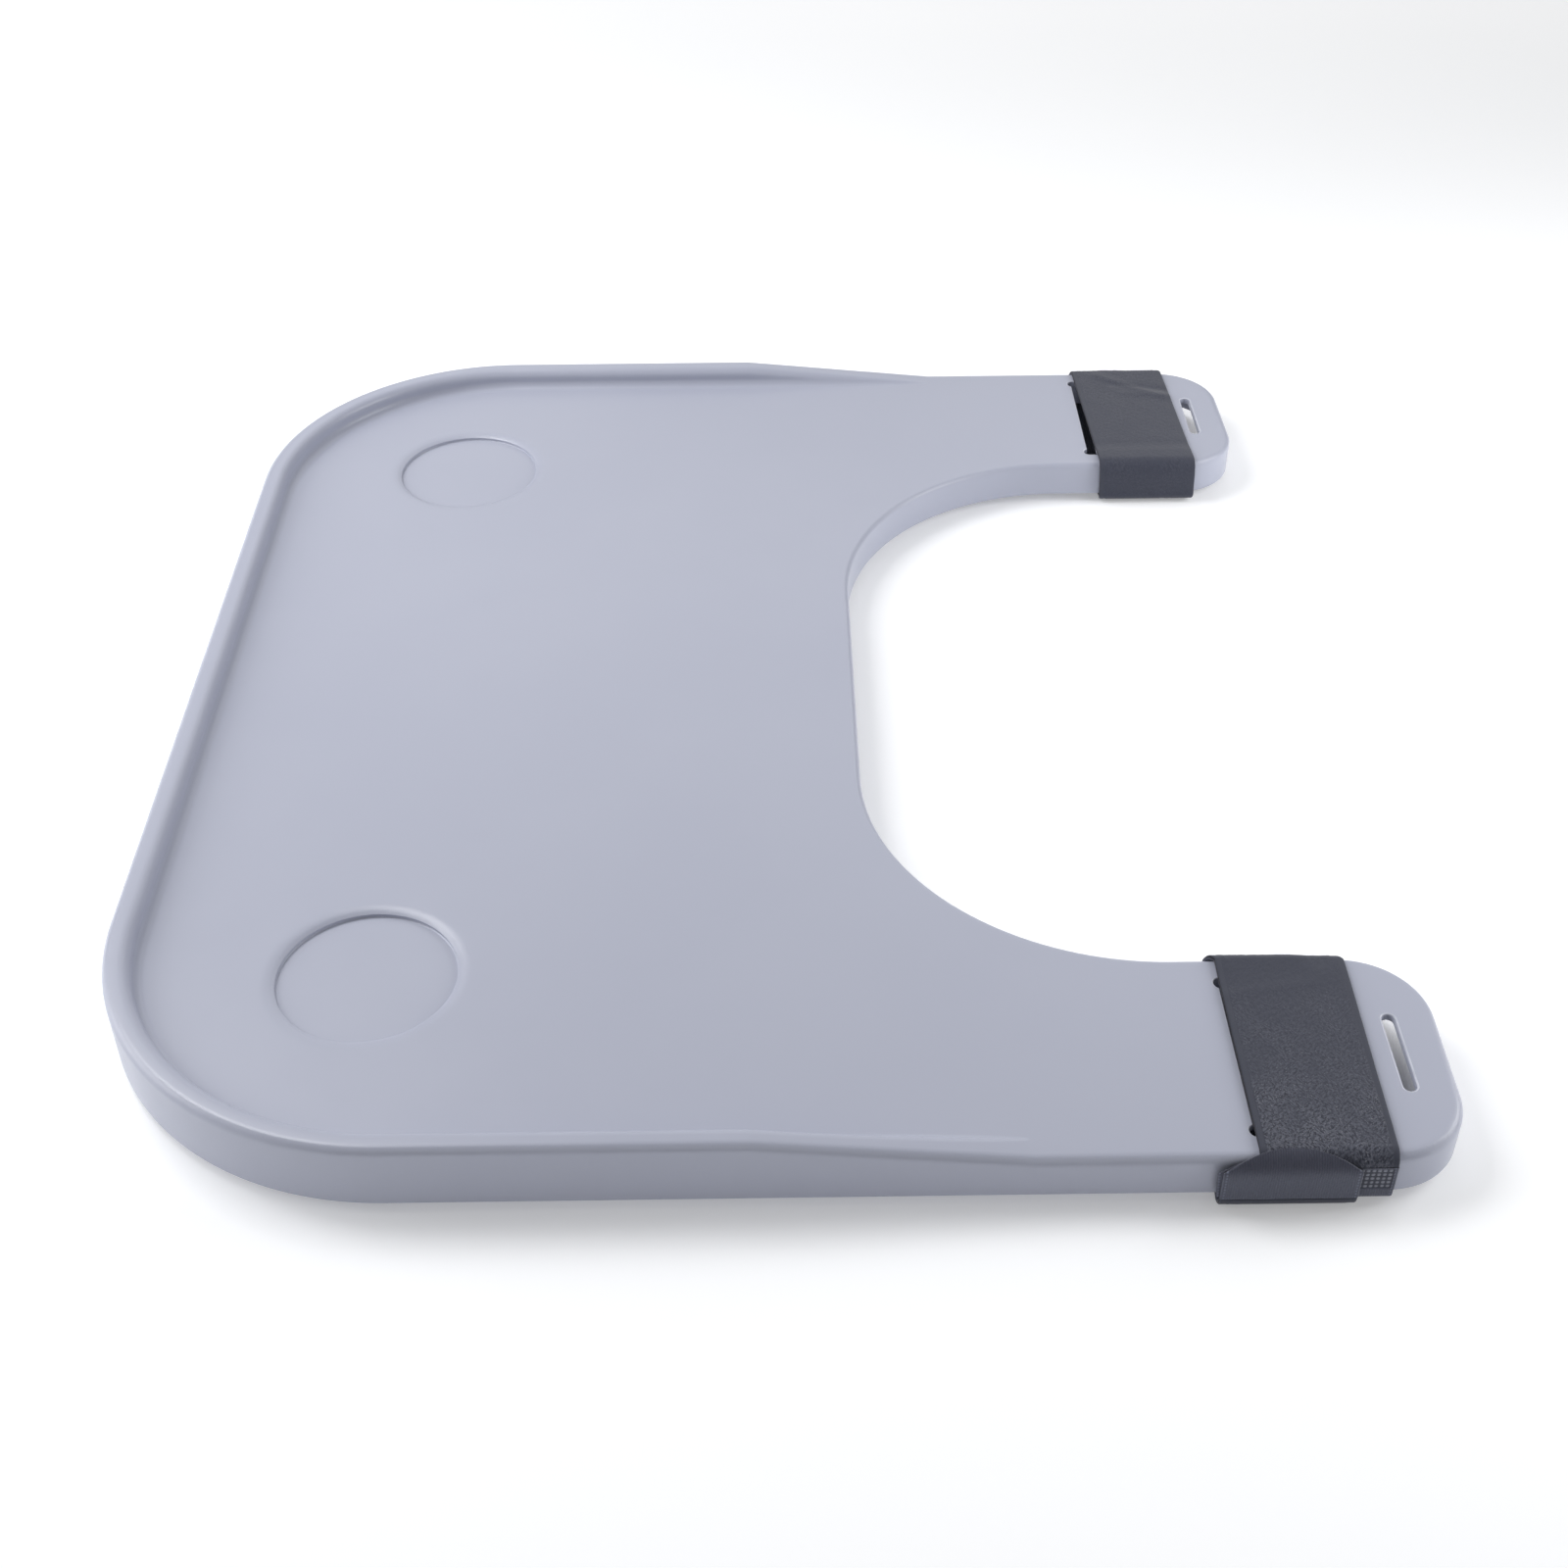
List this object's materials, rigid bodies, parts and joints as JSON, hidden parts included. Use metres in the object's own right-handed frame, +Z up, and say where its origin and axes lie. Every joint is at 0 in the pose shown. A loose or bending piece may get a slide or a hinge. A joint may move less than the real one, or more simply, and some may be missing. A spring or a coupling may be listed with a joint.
{
  "type": "wheelchair tray table",
  "caption": "Moulded tray with a raised rim at the front and sides, cup recesses, a U cut-out and slotted arms, each wrapped by a webbing strap with a peel-open tab.",
  "frame": {"origin": "below the middle of the tray, on the surface that the straps' lower runs rest on", "axes": "+X from the front edge toward the ends of the arms and the user, +Y across the tray, +Z up; symmetric about Y=0 but for the lie of the straps"},
  "size_m": [0.51, 0.5888, 0.0324],
  "materials": {
    "tray_plastic": "smooth satin light blue-grey moulded plastic",
    "loop_webbing": "charcoal loop pile with smooth narrow edges",
    "hook_webbing": "charcoal woven back of hook tape, with fine ribs along its length"
  },
  "bodies": {
    "tray": {"tray_shell": "tray_plastic"},
    "near_strap": {"near_loop_tape": "loop_webbing", "near_hook_tail": "hook_webbing"},
    "near_tab": {"near_hook_tab": "hook_webbing"},
    "far_strap": {"far_loop_tape": "loop_webbing", "far_hook_tail": "hook_webbing"},
    "far_tab": {"far_hook_tab": "hook_webbing"}
  },
  "joints": [
    {"name": "near_strap_slide", "type": "slide", "parent": "tray", "child": "near_strap", "axis": [1, 0, 0], "range_m": [-0.015, 0.025]},
    {"name": "near_tab_peel", "type": "hinge", "parent": "near_strap", "child": "near_tab", "pos_m": [0.1873, -0.2944, 0.00575], "axis": [1, 0, 0], "range_deg": [0, 110]},
    {"name": "far_strap_slide", "type": "slide", "parent": "tray", "child": "far_strap", "axis": [1, 0, 0], "range_m": [-0.015, 0.023]},
    {"name": "far_tab_peel", "type": "hinge", "parent": "far_strap", "child": "far_tab", "pos_m": [0.1968, 0.2944, 0.00575], "axis": [-1, 0, 0], "range_deg": [0, 110]}
  ]
}
